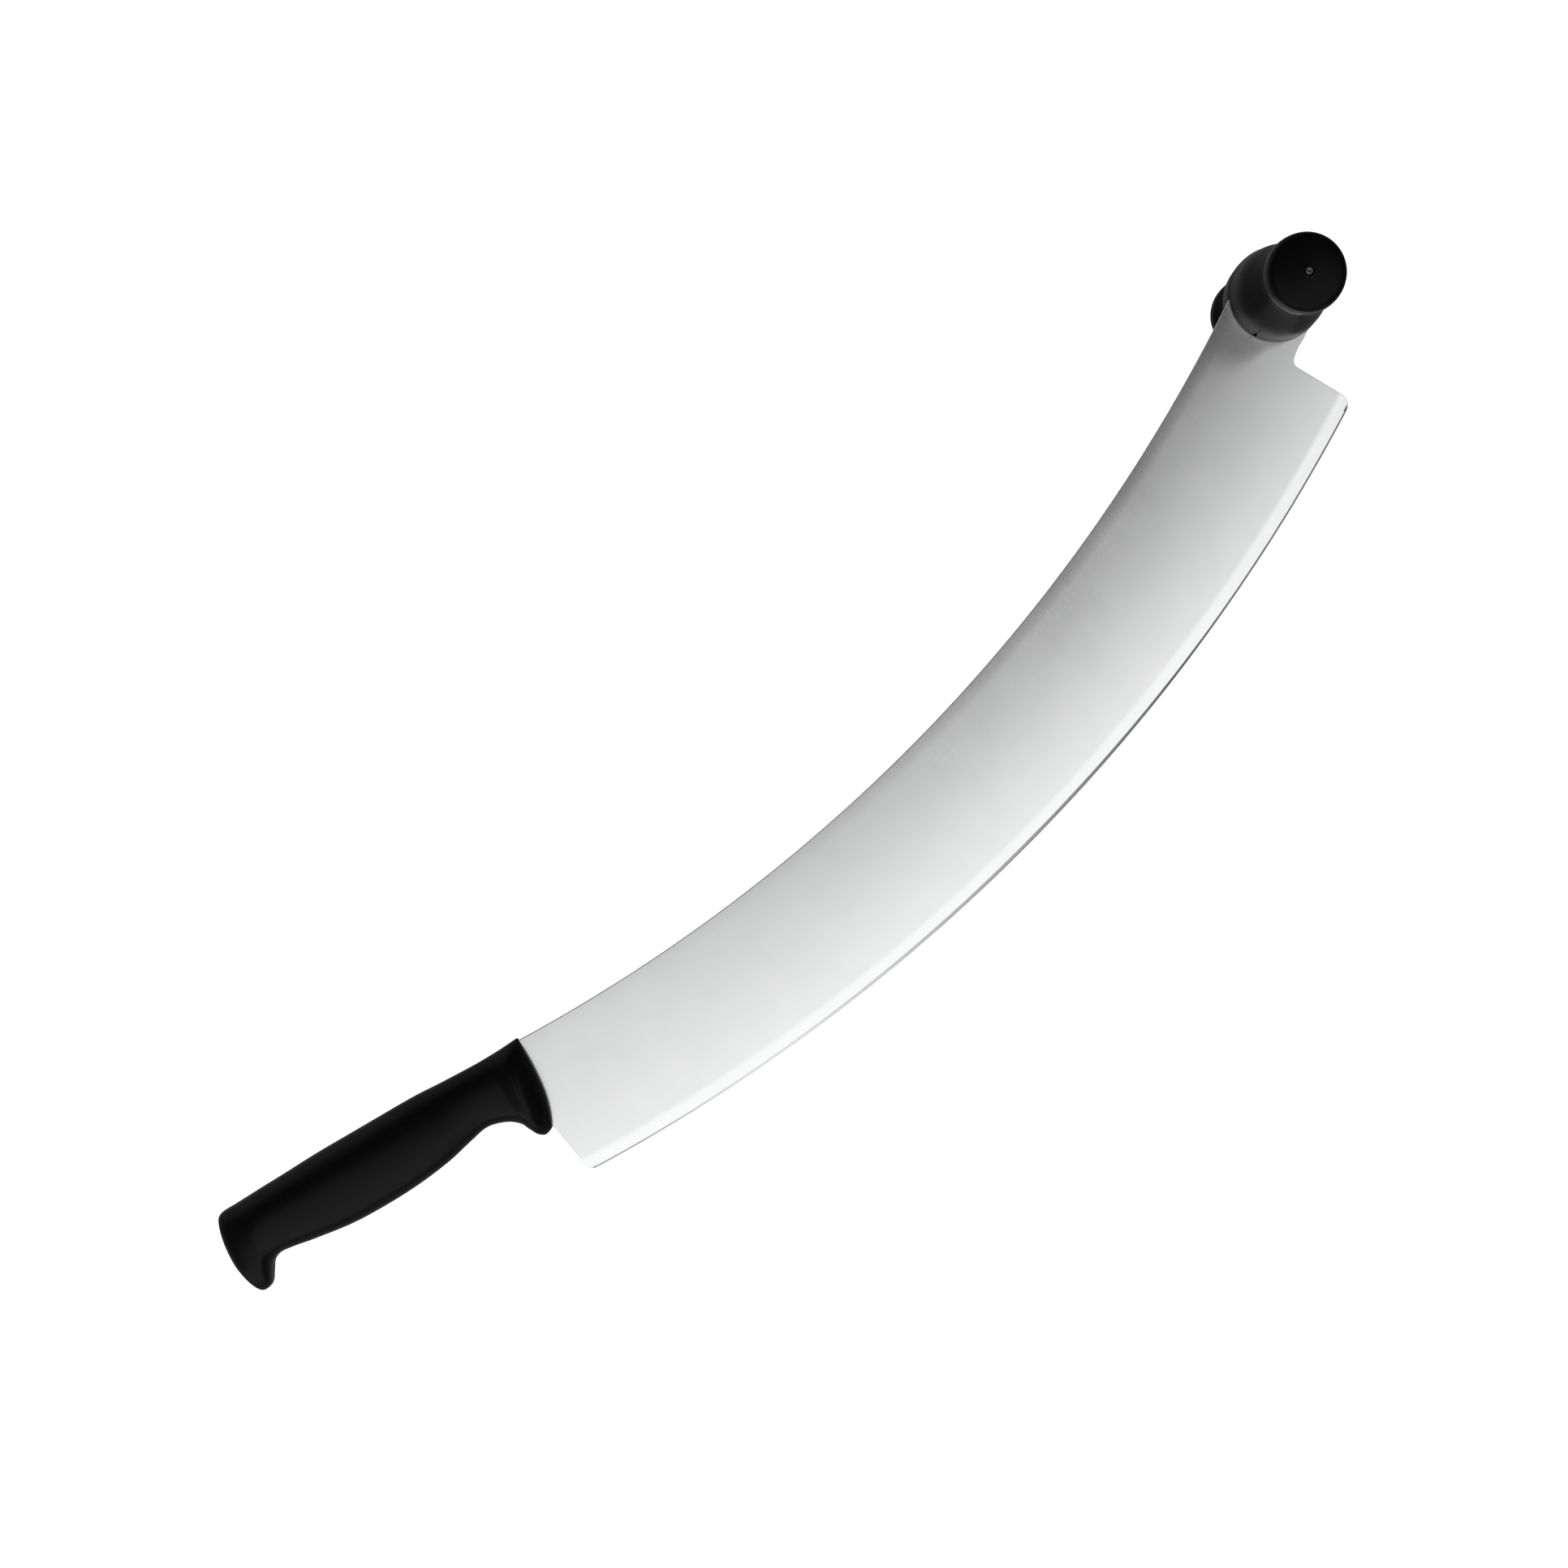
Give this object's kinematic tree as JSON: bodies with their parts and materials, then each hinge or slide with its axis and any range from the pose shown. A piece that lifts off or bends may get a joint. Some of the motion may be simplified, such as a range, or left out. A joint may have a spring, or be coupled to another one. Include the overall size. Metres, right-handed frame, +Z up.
{
  "type": "curved cheese knife",
  "caption": "Two-handled cheese knife: long blade curved in its own plane, moulded handle on the tang and a round cross-grip clamped across the tip end.",
  "frame": {"origin": "middle of the footprint, on the table that the knife lies on", "axes": "+Z up from the table; +X along the knife from the handle to the cross-grip; the cutting edge faces -Y and the concave spine +Y; the blade leans 18 degrees about X and 5 degrees along X, as it lies"},
  "size_m": [0.596, 0.1206, 0.1143],
  "materials": {
    "blade_steel": "stainless sheet ground across the blade, satin, with a brighter ground bevel along the cutting edge",
    "handle_plastic": "black moulded plastic, fine matt texture",
    "grip_near_plastic": "black moulded plastic, satin, slightly smoother on the end face",
    "grip_far_plastic": "black moulded plastic, satin",
    "rivet_steel": "plain steel rod, dull spread ends"
  },
  "bodies": {
    "root": {"blade": "blade_steel", "rear_handle": "handle_plastic", "grip_near_half": "grip_near_plastic", "grip_far_half": "grip_far_plastic", "grip_rivet": "rivet_steel"}
  },
  "joints": []
}
